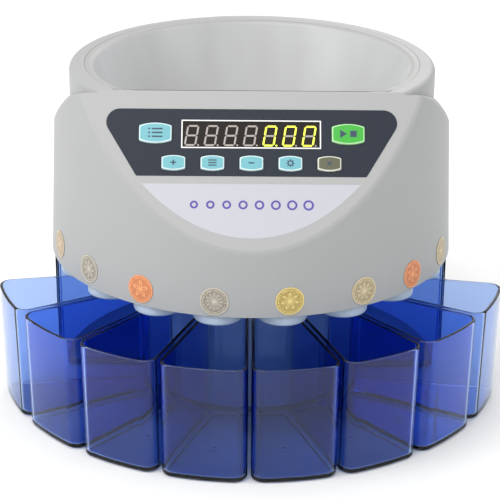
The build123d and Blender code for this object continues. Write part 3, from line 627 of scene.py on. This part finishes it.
def make_bowl():
    """The coin funnel with its lip: a cone with a flat front."""
    count = 288
    soft, inner_flat, outer_flat = BOWL_EDGE_ROUND, BOWL_FLAT, BOWL_FLAT + BOWL_WALL
    slope = (BOWL_TOP_R - BOWL_LOW_R) / (TOP_Z - BOWL_LOW_Z)
    lean = atan2(slope, 1.0)
    edge_r = BOWL_TOP_R + soft * (1 / cos(lean) - slope)
    profile = [(x, z, inner_flat + max(x - BOWL_TOP_R, 0)) for x, z in
               rounded((edge_r, TOP_Z - soft), soft, 90, 180 - lean * 180 / pi, 9)]
    for share in (0.85, 0.6, 0.3, 0.0):
        z = BOWL_LOW_Z + (TOP_Z - BOWL_LOW_Z) * share
        profile.append((BOWL_LOW_R + slope * (z - BOWL_LOW_Z), z, inner_flat))
    profile += [(BOWL_LOW_R + BOWL_WALL, BOWL_LOW_Z, outer_flat),
                (BOWL_TOP_R + BOWL_WALL - slope * BOWL_LIP, TOP_Z - BOWL_LIP, outer_flat),
                (BOWL_SEAM_R - 0.15 * MM, TOP_Z - BOWL_LIP, outer_flat + 0.1 * MM),
                (BOWL_SEAM_R - 0.15 * MM, TOP_Z - 0.3 * MM, outer_flat + 0.1 * MM),
                (BOWL_SEAM_R - 0.23 * MM, TOP_Z - 0.08 * MM, outer_flat),
                (BOWL_SEAM_R - 0.4 * MM, TOP_Z, outer_flat - 0.1 * MM)]
    turns = [2 * pi * i / count for i in range(count)]
    rings = []
    for r, z, flat in profile:
        rings.append([])
        for t in turns:
            at = flat_round(r, flat, (t + pi) % (2 * pi) - pi, BOWL_CORNER)
            rings[-1].append((at * sin(t), AXIS_Y - at * cos(t), z))
    piece = add_piece("hopper_bowl_funnel", [skin(rings, wrap=True)], MATERIALS["bowl_grey"],
                      "machine")
    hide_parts("hopper_bowl")


# ---------------------------------------------------------------- console


def barrel_outline(width, height, bow, grow, corner=1.1 * MM):
    """A key's outline: straight sides with the top and bottom edges bowed outwards."""
    w, h = width / 2 + grow, height / 2 + grow
    r = max(corner + grow, 0.25 * MM)
    bow_steps, corner_steps = 12, 6
    points = []
    bow_r = (w * w + bow * bow) / (2 * bow)
    turn = asin((w - r) / (bow_r - r))
    cx, cy = w - r, (h - bow_r) + (bow_r - r) * cos(turn)
    for i in range(bow_steps):
        t = turn * i / bow_steps
        points.append((bow_r * sin(t), h - bow_r + bow_r * cos(t)))
    for i in range(corner_steps + 1):
        t = turn + (pi / 2 - turn) * i / corner_steps
        points.append((cx + r * sin(t), cy + r * cos(t)))
    right = points + [(w, 0.0)] + [(x, -y) for x, y in reversed(points)]
    left = [(-x, y) for x, y in reversed(right[1:-1])]
    return right + left


def bar(x0, x1, y0, y1):
    """A rectangle as an outline loop, from sides in millimetres."""
    return [(x0 * MM, y0 * MM), (x1 * MM, y0 * MM), (x1 * MM, y1 * MM), (x0 * MM, y1 * MM)]


def turned(loop, t):
    """An outline loop turned about the origin."""
    return [(x * cos(t) - y * sin(t), x * sin(t) + y * cos(t)) for x, y in loop]


def ring_loops(r, width, count=40, x=0.0, y=0.0):
    """Two outline loops, outer and inner, of a printed ring whose sizes are in millimetres."""
    loops = []
    for radius in (r, r - width):
        turns = [2 * pi * i / count for i in range(count)]
        loops.append([((x + radius * sin(t)) * MM, (y + radius * cos(t)) * MM) for t in turns])
    return loops


def picture_parts(picture, lift, u, v):
    """The printed picture of a key, as flat prisms."""
    low, high = lift, lift + PRINT
    plus_arm = [(-0.45 * MM, -1.8 * MM), (0.45 * MM, -1.8 * MM), (0.45 * MM, -0.45 * MM)]
    shapes = {
        "lines": [bar(-4.6, -3.4, y - 0.5, y + 0.5) for y in (2.6, 0.0, -2.6)]
        + [bar(-2.2, 4.6, y - 0.5, y + 0.5) for y in (2.6, 0.0, -2.6)],
        "play": [[(-5.2 * MM, -2.7 * MM), (-0.8 * MM, 0.0), (-5.2 * MM, 2.7 * MM)],
                 bar(1.2, 5.4, -2.1, 2.1)],
        "plus": [[point for i in range(4) for point in turned(plus_arm, pi * i / 2)]],
        "minus": [bar(-1.8, 1.8, -0.45, 0.45)],
        "stack": [bar(-2.7, 2.7, y - 0.4, y + 0.4) for y in (1.7, 0.0, -1.7)],
        "cross": [turned(bar(-2.0, 2.0, -0.4, 0.4), t) for t in (pi / 4, -pi / 4)],
        "wheel": [turned(bar(1.7, 2.7, -0.35, 0.35), pi * i / 4) for i in range(8)],
    }
    parts = []
    for i, loop in enumerate(shapes[picture]):
        raise_by = 0.01 * MM * i if picture == "cross" else 0.0
        parts.append(console_slab(loop, low, high + raise_by, u, v))
    if picture == "wheel":
        outer, inner = ring_loops(1.8, 0.75)
        parts.append(console_frame(outer, inner, low, high + 0.01 * MM, u, v))
    return parts


def make_key(name, u, v, size, film, picture):
    """One key: a pale bevelled cap, a coloured film on its top and a printed picture."""
    width, height, bow = size
    flange = 1.2 * MM
    levels = [(flange, KEY_BACK), (flange, KEY_SKIRT), (0.0, KEY_SKIRT), (0.0, KEY_PROUD - 0.9 * MM),
              (-0.06 * MM, KEY_PROUD - 0.55 * MM), (-0.25 * MM, KEY_PROUD - 0.22 * MM),
              (-0.55 * MM, KEY_PROUD - 0.05 * MM), (-KEY_EDGE, KEY_PROUD - 0.02 * MM)]
    rings = [[on_console(x, y, lift, u, v) for x, y in barrel_outline(width, height, bow, grow)]
             for grow, lift in levels]
    turns = [2 * pi * i / 24 for i in range(24)]
    stem = [[on_console(STEM_R * sin(t), STEM_R * cos(t), lift, u, v) for t in turns]
            for lift in (STEM_END, KEY_BACK)]
    body = f"{name}_body"
    cap = add_piece(f"{name}_cap", [skin(rings, caps=True), skin(stem, caps=True)],
                    MATERIALS[film.replace("key_", "key_edge_")], body)
    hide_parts(name)
    inner = barrel_outline(width, height, bow, -KEY_EDGE, FILM_CORNER)
    edge = barrel_outline(width, height, bow, -KEY_EDGE - 0.15 * MM, FILM_CORNER)
    rings = [[on_console(x, y, lift, u, v) for x, y in loop]
             for loop, lift in ((inner, KEY_PROUD - 0.1 * MM), (inner, KEY_PROUD + 0.01 * MM),
                                (edge, KEY_PROUD + 0.06 * MM))]
    add_piece(f"{name}_film", [skin(rings, caps=True)], MATERIALS[film], body)
    add_piece(f"{name}_print", picture_parts(picture, KEY_PROUD + 0.04 * MM, u, v),
              MATERIALS["ink_dark"], body, smooth=False)


def rectangle(width, height):
    """A rectangle's corner loop about the origin."""
    w, h = width / 2, height / 2
    return [(-w, -h), (w, -h), (w, h), (-w, h)]


def make_window_line():
    """The white line round the display window."""
    outer = rectangle(WINDOW_W, WINDOW_H)
    inner = rectangle(WINDOW_W - 2 * FRAME_LINE, WINDOW_H - 2 * FRAME_LINE)
    shape = console_frame(outer, inner, 0.05 * MM, 0.2 * MM, WINDOW_U, WINDOW_V)
    add_piece("window_line", [shape], MATERIALS["line_white"], "machine", smooth=False)


def make_label_print():
    """A row of rings from small to large, printed on the plate under the keypad. In millimetres."""
    parts = []
    first, last, level = -36.3, 36.5, -76.2
    small, growth, line = 2.6, 0.8, 1.25
    for i in range(PLACES):
        share = i / (PLACES - 1)
        loops = ring_loops(small + growth * share, line, 48, first + (last - first) * share, level)
        parts.append(console_frame(*loops, 0.08 * MM, 0.16 * MM))
    add_piece("label_print", parts, MATERIALS["ink_navy"], "machine", smooth=False)


# ---------------------------------------------------------------- badges


def badge_relief(share, turn, petals):
    """Height of a coin's relief, from 0 to 1, at a share of its radius and a turn about its middle."""
    if share > 0.92:
        return 1.0
    if share > 0.86:
        return 0.15
    if share > 0.74:
        return 0.75 if sin(turn * 36) > 0 else 0.2
    if share > 0.68:
        return 0.15
    petal = 0.42 + 0.2 * cos(turn * petals)
    if share < petal:
        return 0.85 if share > petal - 0.12 or share < 0.16 else 0.35
    return 0.2


def make_badge(index):
    """A round badge on the drum's wall: a rim, a ring of beads and a rosette in low relief."""
    turn_deg, z, film, petals = BADGES[index]
    middle = radians(turn_deg)
    turns, steps = 144, 30
    rings = []

    def on_drum(share, turn, lift):
        """A point of the badge, bent round the drum."""
        x, y = share * BADGE_R * sin(turn), share * BADGE_R * cos(turn)
        t = middle + x / drum_r(z)
        r = drum_r(z + y) + lift
        return (r * sin(t), AXIS_Y - r * cos(t), z + y)

    for k in range(steps, 0, -1):
        share = k / steps
        ring = []
        for i in range(turns):
            t = 2 * pi * i / turns
            height = badge_relief(share, t, petals)
            ring.append(on_drum(share, t, BADGE_THICK * (BADGE_GROUND + BADGE_RELIEF * height)))
        rings.append(ring)
    base = [on_drum(1.0, 2 * pi * i / turns, 0.0) for i in range(turns)]
    piece = add_piece(f"badge_{index + 1}_coin", [skin([base] + rings, caps=True)], MATERIALS[film],
                      "machine")
    mesh = piece.data
    stored = mesh.attributes.new("relief", "FLOAT", "POINT")
    for vert in mesh.vertices:
        lift = hypot(vert.co.x, vert.co.y - AXIS_Y) - drum_r(vert.co.z)
        height = (lift / BADGE_THICK - BADGE_GROUND) / BADGE_RELIEF
        stored.data[vert.index].value = min(max(height, 0.0), 1.0)
    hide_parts(f"badge_{index + 1}")


# ---------------------------------------------------------------- carried-over CAD nodes


def dress_cad_nodes():
    """Gives each CAD node that stays in view the material of its slot, and the column a paler one that
    is partly its own pale grey, partly painted light.
    """
    for part in frame["record"]["subparts"]:
        node = frame["nodes"][part["node"]]
        node.data.materials.clear()
        node.data.materials.append(MATERIALS[part["material_slot"]])
    frame["nodes"]["base_column"].data.materials[0] = MATERIALS["column_grey"]


make_camera()
make_light()
make_floor()
dress_cad_nodes()
for place in range(PLACES):
    make_cup(place)
    make_chute(place)
    make_badge(place)
make_rear_cover()
make_bowl()
for key, (u, v, size, film, picture) in KEYS.items():
    make_key(key, u, v, size, film, picture)
make_window_line()
make_label_print()

bpy.context.scene.view_settings.view_transform = "Standard"
bpy.context.scene.cycles.max_bounces = 32
bpy.context.scene.cycles.transmission_bounces = 32
